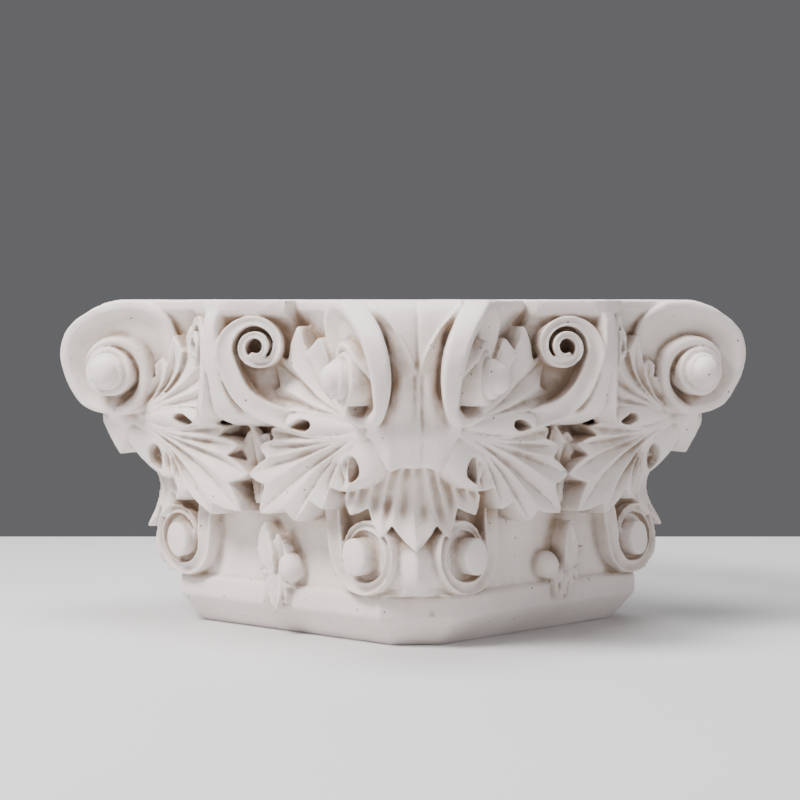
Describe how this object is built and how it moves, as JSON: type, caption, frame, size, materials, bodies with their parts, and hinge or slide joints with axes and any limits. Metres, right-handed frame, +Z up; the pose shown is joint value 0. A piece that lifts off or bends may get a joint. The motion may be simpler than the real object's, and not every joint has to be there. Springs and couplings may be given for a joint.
{
  "type": "corinthian capital",
  "caption": "Square plaster column capital with acanthus leaves, paired corner volutes, a console with inner helices on each face, and a hollowed abacus on top.",
  "frame": {"origin": "middle of the underside, on the ground", "axes": "+Z up, from the foot to the abacus; +X and +Y square to two of the side faces, so the corners stand on the diagonals"},
  "size_m": [0.513, 0.513, 0.3],
  "materials": {
    "cast_plaster": "matte cast plaster with fine pits and beige dirt in the recesses"
  },
  "bodies": {
    "root": {"capital": "cast_plaster"}
  },
  "joints": []
}
